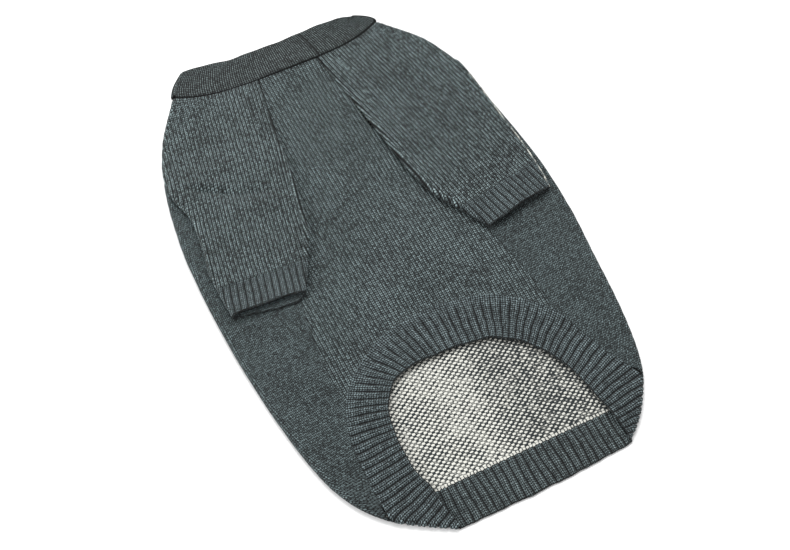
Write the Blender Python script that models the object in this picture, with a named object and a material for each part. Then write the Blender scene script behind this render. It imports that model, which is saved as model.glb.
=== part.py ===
"""Dog pullover in fine knit, laid flat on its back panel with the belly side up.

Frame: metres, +Z up, +Y towards the neck, origin under the middle of the garment.
Stations run from 0 at the tail hem towards the neck. Every panel is a grid of points on the
middle of its cloth, and slab() gives that grid its thickness.
"""

import bpy
import numpy as np

# Driving sizes ------------------------------------------------------------------------------
LENGTH = 0.3966  # tail hem to the highest corner of the collar
CLOTH = 0.0022  # one layer of knit
COLLAR_CLOTH = 0.0030  # the collar band is folded double
SEAM = 0.0004  # gap left between two pieces along a seam
STRIP_GAP = 0.0011  # distance from a side seam to the edge of the upper strip outside it
LYING = 0.0003  # gap left between two layers that lie on each other
BODY_HEIGHT = 0.0064  # both layers of the body and the air between them
COLLAR_HEIGHT = 0.0074

GROUND = CLOTH / 2  # middle of the layer that lies on the floor
BODY_TOP = BODY_HEIGHT - CLOTH / 2  # middle of the layer that lies uppermost on the body
FOLD = (BODY_TOP - GROUND) / 2  # radius of the body's side folds, at mid cloth
ON_BODY = BODY_HEIGHT + LYING + CLOTH / 2  # middle of a layer that lies on the body

# Half widths of the garment as it lies. Columns: station, left, right.
OUTLINE = (
    (0.000, 0.0520, 0.0640),
    (0.010, 0.0690, 0.0780),
    (0.022, 0.0860, 0.0895),
    (0.042, 0.1020, 0.1020),
    (0.062, 0.1105, 0.1085),
    (0.092, 0.1170, 0.1143),
    (0.132, 0.1220, 0.1193),
    (0.172, 0.1249, 0.1240),
    (0.207, 0.1257, 0.1254),
    (0.242, 0.1250, 0.1236),
    (0.282, 0.1207, 0.1194),
    (0.312, 0.1145, 0.1150),
    (0.342, 0.1040, 0.1062),
    (0.362, 0.0940, 0.0955),
    (0.378, 0.0820, 0.0810),
)
# The side seams between the belly panel and the back panel. Columns: station, left, right.
SIDE_SEAM = (
    (0.104, 0.0765, 0.0740),
    (0.130, 0.0770, 0.0725),
    (0.168, 0.0730, 0.0670),
    (0.205, 0.0640, 0.0600),
    (0.250, 0.0480, 0.0480),
    (0.292, 0.0310, 0.0330),
)
UNDERARM = 0.292  # station where side seam, raglan and sleeve meet

# The belly band, a fan of ribs from the left tail corner to the right one. Columns: x and
# station on the free edge, heading of the rib in degrees from +X, and its length. The ribs near
# the corners are long enough to go round the side fold.
BAND_FAN = (
    (-0.0500, 0.0016, 197, 0.0052),
    (-0.0513, 0.0065, 205, 0.0102),
    (-0.0530, 0.0150, 207, 0.0205),
    (-0.0535, 0.0260, 204, 0.0330),
    (-0.0550, 0.0330, 199, 0.0325),
    (-0.0568, 0.0385, 195, 0.0310),
    (-0.0583, 0.0470, 190, 0.0293),
    (-0.0590, 0.0590, 184, 0.0280),
    (-0.0582, 0.0710, 179, 0.0280),
    (-0.0560, 0.0830, 171, 0.0270),
    (-0.0510, 0.0945, 160, 0.0272),
    (-0.0400, 0.1060, 134, 0.0252),
    (-0.0200, 0.1105, 103, 0.0298),
    (0.0040, 0.1095, 88, 0.0330),
    (0.0250, 0.1060, 74, 0.0323),
    (0.0410, 0.0965, 54, 0.0304),
    (0.0515, 0.0840, 41, 0.0300),
    (0.0590, 0.0690, 33, 0.0261),
    (0.0630, 0.0560, 28, 0.0255),
    (0.0655, 0.0430, 16, 0.0291),
    (0.0675, 0.0330, 10, 0.0315),
    (0.0690, 0.0230, 5, 0.0315),
    (0.0700, 0.0150, 3, 0.0195),
    (0.0700, 0.0095, -5, 0.0112),
    (0.0690, 0.0055, -12, 0.0062),
)
BAND_RIBS = 45  # places at which the fan is worked out
ARCH_FOOT = 0.0800  # station above which the band's free edge belongs to the arch
SIDE_RIBS = 0.0400  # ribs that end farther out than this make the seam with the upper strips
CORNER_RIBS = 6  # ribs over which a corner opens from two touching layers to the full fold
KNEE_SHARE = 0.75  # share of a rib's length within which its straight part ends
LEAST_OUTWARD = 0.3  # least outward part of a rib's direction, so that its run stays finite
TRIES = 12  # halving steps that find where a rib meets the outline
# Where the back panel starts above the belly band. Columns: side, station on the underside,
# on top of the fold, and at the band's seam.
BACK_START = {-1: (0.0214, 0.0290, 0.0335), 1: (0.0331, 0.0442, 0.0484)}
TAIL_SEAM = 0.0280  # station of the seam between the tail band and the back panel
# The tail hem, which rises a little to the right. Columns: x, station.
TAIL_HEM = (
    (-0.050, 0.0004),
    (0.000, 0.0000),
    (0.030, 0.0008),
    (0.066, 0.0032),
)
# Where the tail band ends under the belly band's lips. Columns: station, left, right.
TAIL_ENDS = (
    (0.000, 0.0490, 0.0625),
    (0.004, 0.0492, 0.0640),
    (0.008, 0.0525, 0.0658),
    (0.012, 0.0590, 0.0705),
    (0.016, 0.0650, 0.0757),
    (0.028, 0.0785, 0.0825),
)
LIP_SHARE = 0.92  # share of the width inside which the back panel meets the tail band

# The sleeves, from the collar to the cuff seam. Columns: x and station on the inner edge, x and
# station on the outer edge, then heights at mid cloth: crown, under, inner edge, and roll, the
# width over which the inner edge rounds up to the crown.
SLEEVE_LEFT = (
    (-0.0195, 0.3650, -0.0815, 0.3775, 0.0056, GROUND, BODY_TOP, 0.010),
    (-0.0235, 0.3440, -0.1032, 0.3425, 0.0074, GROUND, BODY_TOP, 0.012),
    (-0.0275, 0.3200, -0.1125, 0.3190, 0.0094, GROUND, 0.0058, 0.011),
    (-0.0290, 0.3130, -0.1138, 0.3125, 0.0100, ON_BODY, 0.0066, 0.010),
    (-0.0310, 0.2920, -0.1150, 0.2960, 0.0110, ON_BODY, 0.0082, 0.006),
    (-0.0340, 0.2750, -0.1105, 0.2720, 0.0113, ON_BODY, 0.0096, 0.0020),
    (-0.0385, 0.2480, -0.1125, 0.2480, 0.0113, ON_BODY, 0.0096, 0.0018),
    (-0.0450, 0.2260, -0.1165, 0.2260, 0.0113, ON_BODY, 0.0096, 0.0018),
    (-0.0530, 0.2090, -0.1165, 0.2140, 0.0112, ON_BODY, 0.0095, 0.0018),
)
SLEEVE_RIGHT = (
    (0.0255, 0.3650, 0.0805, 0.3775, 0.0056, GROUND, BODY_TOP, 0.010),
    (0.0280, 0.3440, 0.1055, 0.3425, 0.0074, GROUND, BODY_TOP, 0.012),
    (0.0307, 0.3200, 0.1135, 0.3190, 0.0094, GROUND, 0.0058, 0.011),
    (0.0313, 0.3130, 0.1148, 0.3125, 0.0100, ON_BODY, 0.0066, 0.010),
    (0.0330, 0.2920, 0.1170, 0.2900, 0.0110, ON_BODY, 0.0082, 0.006),
    (0.0352, 0.2680, 0.1178, 0.2660, 0.0113, ON_BODY, 0.0096, 0.0020),
    (0.0388, 0.2400, 0.1190, 0.2420, 0.0113, ON_BODY, 0.0096, 0.0018),
    (0.0440, 0.2190, 0.1198, 0.2270, 0.0113, ON_BODY, 0.0096, 0.0018),
    (0.0545, 0.1995, 0.1198, 0.2120, 0.0112, ON_BODY, 0.0095, 0.0018),
)
# The cuffs, from the sleeve seam to the mouth, with the same columns.
CUFF_LEFT = (
    (-0.0532, 0.2083, -0.1165, 0.2133, 0.0112, ON_BODY, 0.0095, 0.0018),
    (-0.0590, 0.1970, -0.1163, 0.2025, 0.0116, ON_BODY, 0.0097, 0.0019),
    (-0.0648, 0.1868, -0.1160, 0.1908, 0.0124, ON_BODY, 0.0101, 0.0023),
)
CUFF_RIGHT = (
    (0.0547, 0.1990, 0.1198, 0.2115, 0.0112, ON_BODY, 0.0095, 0.0018),
    (0.0600, 0.1885, 0.1192, 0.2000, 0.0112, ON_BODY, 0.0095, 0.0018),
    (0.0655, 0.1785, 0.1182, 0.1885, 0.0112, ON_BODY, 0.0095, 0.0018),
)
BACK_RAGLAN_NECK = (0.0475, 0.3715)  # x and station where the back raglan meets the collar
BACK_RAGLAN_FOLD = (0.1085, 0.3165)  # and where it reaches the side fold
STRIP_END = 0.3110  # station where the back panel's upper strips end at the folds
UNDERARM_GAP = 0.0020  # how far below the underarm their inner corners end

RAGLAN_ROWS = 5  # rows of a sleeve whose inner edge is sewn to the belly panel
UNDERARM_CORNER = (0.031, UNDERARM)  # the upper strip's corner at the underarm
FOLD_CORNER = (0.113, STRIP_END + 0.001)  # and its corner at the side fold
LEAST_UNDER_LAYER = 0.0045  # narrowest under layer of a sleeve
CAP_REACH = 0.0300  # stretch of a sleeve that bends to follow the foot of the collar
TUCK = 0.0006  # how far the last columns of a sleeve's under layer draw back

COLLAR_JOIN = 0.0290  # x of the seam that joins the collar band in a ring
COLLAR_FOOT = (0.0820, 0.0810)  # half widths at the foot of the collar, left and right
COLLAR_NARROWING = (0.0145, 0.0135)  # how much each shrinks up to the collar edge
COLLAR_BOW = 1.6  # power of the bow in the collar's sides
FOOT_UPPER = 0.3650  # station of the collar's foot on the middle line, on the upper layer
FOOT_UNDER = 0.3710  # and on the lower layer
FOOT_FOLD = 0.3780  # its station at both side folds
# The collar's free edge. Columns: share of the half width, station.
COLLAR_EDGE = (
    (-1.00, 0.3955),
    (-0.75, 0.3945),
    (-0.41, 0.3912),
    (0.00, 0.3908),
    (0.36, 0.3914),
    (0.66, 0.3927),
    (0.85, 0.3918),
    (1.00, 0.3885),
)

# Colours, linear ------------------------------------------------------------------------------
PLAIN_KNIT = (0.080, 0.102, 0.108)
JACQUARD_KNIT = (0.070, 0.088, 0.092)
RIB_KNIT = (0.068, 0.088, 0.092)


# Curves ---------------------------------------------------------------------------------------
def smooth(at, rows):
    """Values at the given places of the smooth curves through a table, first column the place.

    Each stretch is a cubic whose end slopes are harmonic means of the slopes beside them, and
    zero where those differ in sign, so the curve never swings past its table.
    """
    rows = np.asarray(rows, float)
    place, value = rows[:, 0], rows[:, 1:]
    step = np.diff(place)[:, None]
    slope = np.diff(value, axis=0) / step
    end = np.vstack([slope[:1], slope[:-1], slope[-1:]])[: len(place)]
    after = np.vstack([slope, slope[-1:]])
    same = end * after > 0
    tangent = np.where(same, 2 * end * after / np.where(same, end + after, 1), 0)
    tangent[0], tangent[-1] = slope[0], slope[-1]
    at = np.clip(np.asarray(at, float), place[0], place[-1])
    cell = np.clip(np.searchsorted(place, at, side="right") - 1, 0, len(place) - 2)
    width = step[cell]
    t = ((at - place[cell])[..., None]) / width
    return (
        value[cell] * (1 + 2 * t) * (1 - t) ** 2
        + tangent[cell] * width * t * (1 - t) ** 2
        + value[cell + 1] * t * t * (3 - 2 * t)
        + tangent[cell + 1] * width * t * t * (t - 1)
    )


def along(rows, count):
    """A table read at evenly spaced places along it, with its own row number as the place."""
    rows = np.asarray(rows, float)
    numbered = np.column_stack([np.arange(len(rows)), rows])
    return smooth(np.linspace(0, len(rows) - 1, count), numbered)


def half_width(side, station):
    """Outermost distance from the middle line, at the left (side -1) or the right (side 1)."""
    return smooth(station, OUTLINE)[..., 0 if side < 0 else 1]


def band_ribs(count=BAND_RIBS):
    """The fan worked out: free ends, directions, and lengths of its ribs."""
    x, station, heading, length = along(BAND_FAN, count).T
    heading = np.radians(heading)
    return np.column_stack([x, station]), np.column_stack([np.cos(heading), np.sin(heading)]), length


def band_seam(side):
    """Where the ribs of one side end on the upper layer, as rows of station and half width."""
    free, way, length = band_ribs()
    end = free + way * length[:, None]
    inside = (side * end[:, 0] > SIDE_RIBS) & (side * end[:, 0] < half_width(side, end[:, 1]) - FOLD)
    rows = np.column_stack([end[inside, 1], side * end[inside, 0]])
    return rows[np.argsort(rows[:, 0])]


def seam_width(side, station):
    """Distance of a side's seam from the middle line, along the belly band and then above it."""
    band = band_seam(side)
    above = smooth(station, SIDE_SEAM)[..., 0 if side < 0 else 1]
    below = np.interp(station, band[:, 0], band[:, 1])
    return np.where(np.asarray(station) < SIDE_SEAM[0][0], below, above)


def slope(side, station):
    """How fast the half width grows towards the neck."""
    reach = 0.002
    change = half_width(side, station + reach) - half_width(side, station - reach)
    return change / (2 * reach)


def slant(side, station):
    """How much longer a step across is than one square to the outline."""
    return np.hypot(1, slope(side, station))


def flat_edge(side, station):
    """Distance from the middle line to where the side fold begins."""
    return half_width(side, station) - (FOLD + CLOTH / 2) * slant(side, station)


def fold_inset(angle):
    """Distance in from the outermost mid cloth at an angle round the fold, 90 degrees on top."""
    return FOLD * (1 - np.cos(angle))


def collar_foot(x, upper):
    """Station of the collar's foot: a shallow dip that rises to both side folds."""
    across = np.clip(np.abs(x) / np.where(x < 0, *COLLAR_FOOT), 0, 1)
    low = FOOT_UPPER if upper else FOOT_UNDER
    return low + (FOOT_FOLD - low) * across**4


# Solids ---------------------------------------------------------------------------------------
def material(name, colour):
    made = bpy.data.materials.new(name)
    made.use_nodes = True
    shader = made.node_tree.nodes["Principled BSDF"]
    shader.inputs["Base Color"].default_value = (*colour, 1)
    shader.inputs["Roughness"].default_value = 0.9
    shader.inputs["Metallic"].default_value = 0
    made.diffuse_color = (*colour, 1)
    return made


def normals(grid):
    """Unit normals of a grid of points, square to its rows and columns."""
    across = np.gradient(grid, axis=1)
    down = np.gradient(grid, axis=0)
    square = np.cross(across, down)
    return square / np.linalg.norm(square, axis=-1, keepdims=True)


def slab(name, grid, finish, cloth=CLOTH):
    """One closed solid of triangles: the grid moved out by half the cloth both ways, with its rim."""
    rows, columns = grid.shape[:2]
    out = normals(grid) * cloth / 2
    points = np.concatenate([(grid + out).reshape(-1, 3), (grid - out).reshape(-1, 3)])
    number = np.arange(rows * columns).reshape(rows, columns)
    quads = np.stack(
        [number[:-1, :-1], number[:-1, 1:], number[1:, 1:], number[1:, :-1]], axis=-1
    ).reshape(-1, 4)
    border = np.concatenate([number[0], number[1:, -1], number[-1, -2::-1], number[-2:0:-1, 0]])
    beside = np.roll(border, -1)
    half = rows * columns
    rim = np.stack([beside, border, border + half, beside + half], axis=-1)
    quads = np.concatenate([quads, quads[:, [1, 0, 3, 2]] + half, rim])
    faces = quads[:, [0, 1, 2, 0, 2, 3]].reshape(-1, 3)
    mesh = bpy.data.meshes.new(name)
    mesh.from_pydata(points.tolist(), [], faces.tolist())
    if np.linalg.det(points[faces]).sum() < 0:
        mesh.flip_normals()
    mesh.materials.append(finish)
    mesh.shade_smooth()
    mesh.set_sharp_from_angle(angle=np.radians(50))
    solid = bpy.data.objects.new(name, mesh)
    bpy.context.scene.collection.objects.link(solid)
    return solid


def place(x, station, height):
    """Points from distance across, station and height."""
    return np.stack(np.broadcast_arrays(x, station - LENGTH / 2, height), axis=-1)


# Pieces ---------------------------------------------------------------------------------------
def back_panel(finish):
    """Underside, both side folds and both upper strips, as one grid from seam to seam.

    A column keeps its share of the width at every station, and runs from its own lower end to
    its own upper end, so the four edges follow the seams.
    """
    rise = np.linspace(0, 1, 20)
    neck_x, neck_station = BACK_RAGLAN_NECK
    fold_x, fold_station = BACK_RAGLAN_FOLD
    columns = []

    def strip(side, shares):
        _, low, seam_low = BACK_START[side]
        for share in shares:
            start = low + share * (seam_low - low)
            stop = STRIP_END + share * (UNDERARM - UNDERARM_GAP - STRIP_END)
            station = start + rise * (stop - start)
            outer = flat_edge(side, station)
            inner = seam_width(side, station) + STRIP_GAP
            columns.append(place(side * (outer + share * (inner - outer)), station, BODY_TOP))

    def fold(side, angles):
        under, low, _ = BACK_START[side]
        for angle in angles:
            start = under + (np.sin(angle) + 1) / 2 * (low - under)
            station = start + rise * (STRIP_END - start)
            inset = (fold_inset(angle) + CLOTH / 2) * slant(side, station)
            height = (GROUND + BODY_TOP) / 2 + FOLD * np.sin(angle)
            columns.append(place(side * (half_width(side, station) - inset), station, height))

    def underside(shares):
        stations = np.linspace(STRIP_END, neck_station, 40)
        line = np.interp(stations, (fold_station, neck_station), (fold_x, neck_x))
        for share in shares:
            side = -1 if share < 0 else 1
            part = abs(share)
            cut = line / flat_edge(side, stations)
            if part > cut[-1]:
                stop = np.interp(-part, -cut, stations) - SEAM
            else:
                stop = collar_foot(share * flat_edge(side, neck_station), False) - SEAM
            start = TAIL_SEAM + SEAM
            if part > LIP_SHARE:
                start += (BACK_START[side][0] - TAIL_SEAM) * (part - LIP_SHARE) / (1 - LIP_SHARE)
            station = start + rise * (stop - start)
            columns.append(place(share * flat_edge(side, station), station, GROUND))

    neck = neck_x / flat_edge(1, neck_station)
    turn = np.radians([65, 25, -25, -65])
    half = np.array([1, LIP_SHARE, 0.74, neck, 0.3])
    strip(-1, (1, 0.62, 0.28, 0))
    fold(-1, turn)
    underside(np.concatenate([-half, [0], half[::-1]]))
    fold(1, turn[::-1])
    strip(1, (0, 0.28, 0.62, 1))
    return slab("back_panel", np.stack(columns, axis=1), finish)


def belly_edges(station):
    """The left and right edges of the belly panel: side seams, and raglans above them."""
    found = []
    for side, rows in ((-1, SLEEVE_LEFT), (1, SLEEVE_RIGHT)):
        raglan = [(row[1], side * row[0]) for row in reversed(rows[:RAGLAN_ROWS])]
        above = smooth(station, raglan)[..., 0]
        reach = np.where(station > UNDERARM, above, seam_width(side, station))
        found.append(side * (reach - SEAM))
    return found


def belly_panel(finish):
    """Upper layer between the raglans and the side seams, from the arch to the collar."""
    rise = np.linspace(0, 1, 15)[:, None]
    free, way, length = band_ribs()
    arch = (free + way * length[:, None])[free[:, 1] > ARCH_FOOT]
    arch = arch[arch[:, 1] > SIDE_SEAM[0][0]]
    left, right = belly_edges(arch[:, 1])
    share = np.concatenate([[0], (arch[:, 0] - left) / (right - left), [1]])
    low = np.concatenate([[SIDE_SEAM[0][0]], arch[:, 1], [SIDE_SEAM[0][0]]]) + 2 * SEAM
    left, right = belly_edges(np.full(share.shape, FOOT_UPPER))
    high = collar_foot(left + share * (right - left), True) - SEAM
    station = low + rise * (high - low)
    left, right = belly_edges(station)
    return slab("belly_panel", place(left + share * (right - left), station, BODY_TOP), finish)


def tube(name, rows, count, finish, cap=False):
    """A sleeve or cuff: one sheet from its inner edge over the crown, round the outer fold and
    back underneath to the inner edge again. On the cap the under layer stops at the back raglan.
    """
    inner_x, inner_s, outer_x, outer_s, crown, under, edge, roll = along(rows, count).T
    inner = np.column_stack([inner_x, inner_s])
    outer = np.column_stack([outer_x, outer_s])
    width = np.linalg.norm(outer - inner, axis=1)
    way = (outer - inner) / width[:, None]
    radius = (crown - under) / 2
    far = width - CLOTH
    turned = far - radius
    end = roll
    if cap:
        end = np.maximum(width - CLOTH / 2 + 4 * SEAM - raglan_reach(inner, outer, under), roll)
    whole = end <= roll
    columns = []
    for angle in np.radians([0, 45, 90]):
        columns.append((roll * (1 - np.cos(angle)), edge + (crown - edge) * np.sin(angle)))
    for share in (0.3, 0.65, 1):
        columns.append((roll + share * (turned - roll), crown))
    for angle in np.radians([50, 0, -50]):
        columns.append((turned + radius * np.cos(angle), (crown + under) / 2 + radius * np.sin(angle)))
    for share in (0, 0.3, 0.65, 1):
        columns.append((turned + share * (end - turned), under))
    for angle in np.radians([45, 4]):
        tuck = np.where(whole, roll * (1 - np.cos(angle)), end - TUCK * (2 - angle))
        drop = np.where(whole, edge - SEAM + (under - edge + SEAM) * np.sin(angle), under)
        columns.append((tuck, drop))
    grid = np.empty((count, len(columns), 3))
    for number, (distance, height) in enumerate(columns):
        point = inner + way * (CLOTH / 2 + distance)[:, None]
        grid[:, number] = place(point[:, 0], point[:, 1], height)
    if cap:
        to_collar(grid)
    return slab(name, grid, finish)


def raglan_reach(inner, outer, under):
    """How far in from the outer edge the under layer goes before it meets the back panel: to
    the back raglan on the underside, and above the side fold to the top of the upper strip.
    """
    side = np.sign(outer[0, 0])
    back = (inner - outer) / np.linalg.norm(inner - outer, axis=1, keepdims=True)

    def crossing(first, second):
        first = np.array([side * first[0], first[1]])
        run = np.array([side * second[0], second[1]]) - first
        offset = first - outer
        across = offset[:, 0] * run[1] - offset[:, 1] * run[0]
        return across / (back[:, 0] * run[1] - back[:, 1] * run[0])

    below = crossing(BACK_RAGLAN_NECK, BACK_RAGLAN_FOLD)
    above = crossing(UNDERARM_CORNER, FOLD_CORNER)
    return np.clip(np.where(under < BODY_HEIGHT / 2, below, above), LEAST_UNDER_LAYER, None)


def to_collar(grid):
    """Moves a sleeve's first rows so that its end follows the foot of the collar."""
    upper = grid[0, :, 2] > BODY_HEIGHT / 2
    foot = np.where(upper, collar_foot(grid[0, :, 0], True), collar_foot(grid[0, :, 0], False))
    shift = foot - 2 * SEAM - LENGTH / 2 - grid[0, :, 1]
    away = (grid[0, None, :, 1] - grid[:, :, 1]) / CAP_REACH
    grid[:, :, 1] += shift * np.clip(1 - away, 0, 1) ** 2


def collar(finish):
    """A closed ring but for its join: the upper layer, both folds and the lower layer."""
    rise = np.linspace(0, 1, 4)[:, None]
    radius = (COLLAR_HEIGHT - COLLAR_CLOTH) / 2
    middle = COLLAR_HEIGHT / 2
    halves = [
        foot - narrowing * rise**COLLAR_BOW for foot, narrowing in zip(COLLAR_FOOT, COLLAR_NARROWING)
    ]
    columns = []

    def layer(shares, upper):
        for share in shares:
            number = 0 if share < 0 else 1
            x = share * (halves[number] - COLLAR_CLOTH / 2 - radius)
            foot = collar_foot(share * (COLLAR_FOOT[number] - COLLAR_CLOTH), upper)
            station = foot + rise * (smooth(share, COLLAR_EDGE) - foot)
            columns.append(place(x, station, middle + radius * (1 if upper else -1))[:, 0])

    def fold(side, angles):
        half = halves[0 if side < 0 else 1]
        for angle in angles:
            x = half - COLLAR_CLOTH / 2 - radius + radius * np.cos(angle)
            station = FOOT_FOLD + rise * (smooth(side, COLLAR_EDGE) - FOOT_FOLD)
            columns.append(place(side * x, station, middle + radius * np.sin(angle))[:, 0])

    join = COLLAR_JOIN / COLLAR_FOOT[1]
    gap = SEAM / 2 / COLLAR_FOOT[1]
    turn = np.radians([60, 30, 0, -30, -60])
    layer(np.linspace(join - gap, -1, 9), True)
    fold(-1, turn)
    layer(np.linspace(-1, 1, 11), False)
    fold(1, turn[::-1])
    layer(np.linspace(1, join + gap, 5), True)
    return slab("collar", np.stack(columns, axis=1), finish, COLLAR_CLOTH)


def belly_band(finish):
    """A fan of ribs. Each runs straight out from the free edge, and near the tail corners goes
    round the side fold to a short lip on the underside.
    """
    free, way, length = band_ribs()
    side = np.where(free[:, 0] < 0, -1, 1)
    outward = np.abs(way[:, 0]).clip(LEAST_OUTWARD)
    to_edge = length.copy()
    for _ in range(TRIES):
        station = free[:, 1] + way[:, 1] * to_edge
        out = np.where(side < 0, half_width(-1, station), half_width(1, station))
        to_edge = 0.5 * to_edge + 0.5 * (out - np.abs(free[:, 0])) / outward
    grow = np.where(side < 0, slope(-1, station), slope(1, station))
    square = (outward - grow * way[:, 1]) / np.hypot(1, grow)
    ends = np.minimum(np.arange(BAND_RIBS), np.arange(BAND_RIBS)[::-1]) / CORNER_RIBS
    lying = (CLOTH + LYING) / 2
    radius = lying + (FOLD - lying) * np.clip(ends, 0, 1)
    start = to_edge - (CLOTH / 2 + radius) / square
    knee = np.minimum(start, KNEE_SHARE * length)
    columns = []
    for share in (0, 0.5, 1, 1.17, 1.34, 1.5, 1.67, 1.84, 2):
        arc = np.where(share < 1, share * knee, knee + (share - 1) * (length - knee))
        angle = np.clip((arc - start) * square / radius, 0, np.pi)
        past = np.clip(arc - start - np.pi * radius / square, 0, None)
        distance = np.minimum(arc, start) + radius * np.sin(angle) / square - past
        point = free + way * distance[:, None]
        columns.append(place(point[:, 0], point[:, 1], GROUND + radius * (1 + np.cos(angle))))
    return slab("belly_band", np.stack(columns, axis=1), finish)


def tail_band(finish):
    """The straight rib on the floor, between the lips of the belly band."""
    rise = np.linspace(0, 1, 4)[:, None]
    share = np.linspace(0, 1, 17)
    hem = smooth(TAIL_HEM[0][0] + share * (TAIL_HEM[-1][0] - TAIL_HEM[0][0]), TAIL_HEM)[:, 0]
    station = hem + rise * (TAIL_SEAM - SEAM - hem)
    left, right = np.moveaxis(smooth(station, TAIL_ENDS), -1, 0)
    return slab("tail_band", place(-left + share * (left + right), station, GROUND), finish)


def main():
    for old in list(bpy.data.objects):
        bpy.data.objects.remove(old)
    plain = material("plain_knit", PLAIN_KNIT)
    jacquard = material("jacquard_knit", JACQUARD_KNIT)
    rib = material("rib_knit", RIB_KNIT)
    back_panel(jacquard)
    belly_panel(plain)
    tube("sleeve_left", SLEEVE_LEFT, 17, plain, cap=True)
    tube("sleeve_right", SLEEVE_RIGHT, 17, plain, cap=True)
    tube("cuff_left", CUFF_LEFT, 5, rib)
    tube("cuff_right", CUFF_RIGHT, 5, rib)
    collar(rib)
    belly_band(rib)
    tail_band(rib)


main()
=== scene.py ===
"""Dog pullover in fine knit, laid flat on its back panel with the belly side up.

Metres, +Z up, +Y towards the neck. Stations run from 0 at the tail hem towards the neck. Every
panel is a grid of points on the middle of its cloth; shell() gives the grid its thickness, the
relief of its stitches on both faces, and a rounded rim.
"""

from functools import partialmethod

import bpy
import numpy as np
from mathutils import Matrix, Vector


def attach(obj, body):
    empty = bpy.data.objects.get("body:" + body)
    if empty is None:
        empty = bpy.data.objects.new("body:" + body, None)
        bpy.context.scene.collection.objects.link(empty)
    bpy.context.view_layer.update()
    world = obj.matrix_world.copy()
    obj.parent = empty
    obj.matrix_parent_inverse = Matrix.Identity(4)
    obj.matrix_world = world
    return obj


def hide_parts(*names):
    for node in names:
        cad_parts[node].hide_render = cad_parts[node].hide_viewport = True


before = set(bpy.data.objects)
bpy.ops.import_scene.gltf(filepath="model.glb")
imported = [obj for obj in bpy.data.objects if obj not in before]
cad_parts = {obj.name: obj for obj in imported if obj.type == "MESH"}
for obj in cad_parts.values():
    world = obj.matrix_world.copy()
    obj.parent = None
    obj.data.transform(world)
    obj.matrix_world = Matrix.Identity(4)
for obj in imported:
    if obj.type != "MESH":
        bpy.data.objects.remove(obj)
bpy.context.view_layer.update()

# Sizes of the garment, as in its frame
LENGTH = 0.3966
CLOTH = 0.0022
COLLAR_CLOTH = 0.0030
OVERLAP = 0.0003  # how far sewn edges press into each other
LYING = 0.0003  # gap under cloth that lies on other cloth
BODY_HEIGHT = 0.0064
COLLAR_HEIGHT = 0.0074

GROUND = CLOTH / 2
BODY_TOP = BODY_HEIGHT - CLOTH / 2
FOLD = (BODY_TOP - GROUND) / 2
ON_BODY = BODY_HEIGHT + LYING + CLOTH / 2

# Columns: station, left and right half width.
OUTLINE = (
    (0.000, 0.0520, 0.0640),
    (0.010, 0.0690, 0.0780),
    (0.022, 0.0860, 0.0895),
    (0.042, 0.1020, 0.1020),
    (0.062, 0.1105, 0.1085),
    (0.092, 0.1170, 0.1143),
    (0.132, 0.1220, 0.1193),
    (0.172, 0.1249, 0.1240),
    (0.207, 0.1257, 0.1254),
    (0.242, 0.1250, 0.1236),
    (0.282, 0.1207, 0.1194),
    (0.312, 0.1145, 0.1150),
    (0.342, 0.1040, 0.1062),
    (0.362, 0.0940, 0.0955),
    (0.378, 0.0820, 0.0810),
)
# Columns: station, left and right side seam.
SIDE_SEAM = (
    (0.104, 0.0765, 0.0740),
    (0.130, 0.0770, 0.0725),
    (0.168, 0.0730, 0.0670),
    (0.205, 0.0640, 0.0600),
    (0.250, 0.0480, 0.0480),
    (0.292, 0.0310, 0.0330),
)
UNDERARM = 0.292
# The fan of the belly band. Columns: x and station on the free edge, heading in degrees, length.
BAND_FAN = (
    (-0.0500, 0.0016, 197, 0.0052),
    (-0.0513, 0.0065, 205, 0.0102),
    (-0.0530, 0.0150, 207, 0.0205),
    (-0.0535, 0.0260, 204, 0.0330),
    (-0.0550, 0.0330, 199, 0.0325),
    (-0.0568, 0.0385, 195, 0.0310),
    (-0.0583, 0.0470, 190, 0.0293),
    (-0.0590, 0.0590, 184, 0.0280),
    (-0.0582, 0.0710, 179, 0.0280),
    (-0.0560, 0.0830, 171, 0.0270),
    (-0.0510, 0.0945, 160, 0.0272),
    (-0.0400, 0.1060, 134, 0.0252),
    (-0.0200, 0.1105, 103, 0.0298),
    (0.0040, 0.1095, 88, 0.0330),
    (0.0250, 0.1060, 74, 0.0323),
    (0.0410, 0.0965, 54, 0.0304),
    (0.0515, 0.0840, 41, 0.0300),
    (0.0590, 0.0690, 33, 0.0261),
    (0.0630, 0.0560, 28, 0.0255),
    (0.0655, 0.0430, 16, 0.0291),
    (0.0675, 0.0330, 10, 0.0315),
    (0.0690, 0.0230, 5, 0.0315),
    (0.0700, 0.0150, 3, 0.0195),
    (0.0700, 0.0095, -5, 0.0112),
    (0.0690, 0.0055, -12, 0.0062),
)
# Where the back panel starts above the belly band. Columns: side, station on the underside,
# on top of the fold, and at the band's seam.
BACK_START = {-1: (0.0200, 0.0272, 0.0322), 1: (0.0316, 0.0426, 0.0470)}
TAIL_SEAM = 0.0280
# The tail hem. Columns: x, station.
TAIL_HEM = ((-0.050, 0.0004), (0.000, 0.0000), (0.030, 0.0008), (0.066, 0.0032))
# Columns: station, left and right end of the tail band.
TAIL_ENDS = (
    (0.000, 0.0512, 0.0705),
    (0.004, 0.0516, 0.0712),
    (0.008, 0.0540, 0.0716),
    (0.012, 0.0595, 0.0722),
    (0.016, 0.0650, 0.0757),
    (0.028, 0.0785, 0.0825),
)
LIP_SHARE = 0.92  # share of the half width past which the back panel gives way to the lips
ARCH_FOOT = 0.0800
SIDE_RIBS = 0.0400
CORNER_RIBS = 6
BAND_RIBS = 45
KNEE_SHARE = 0.75  # where along a rib its finer columns begin at the latest
LEAST_OUTWARD = 0.3
TRIES = 12
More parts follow.
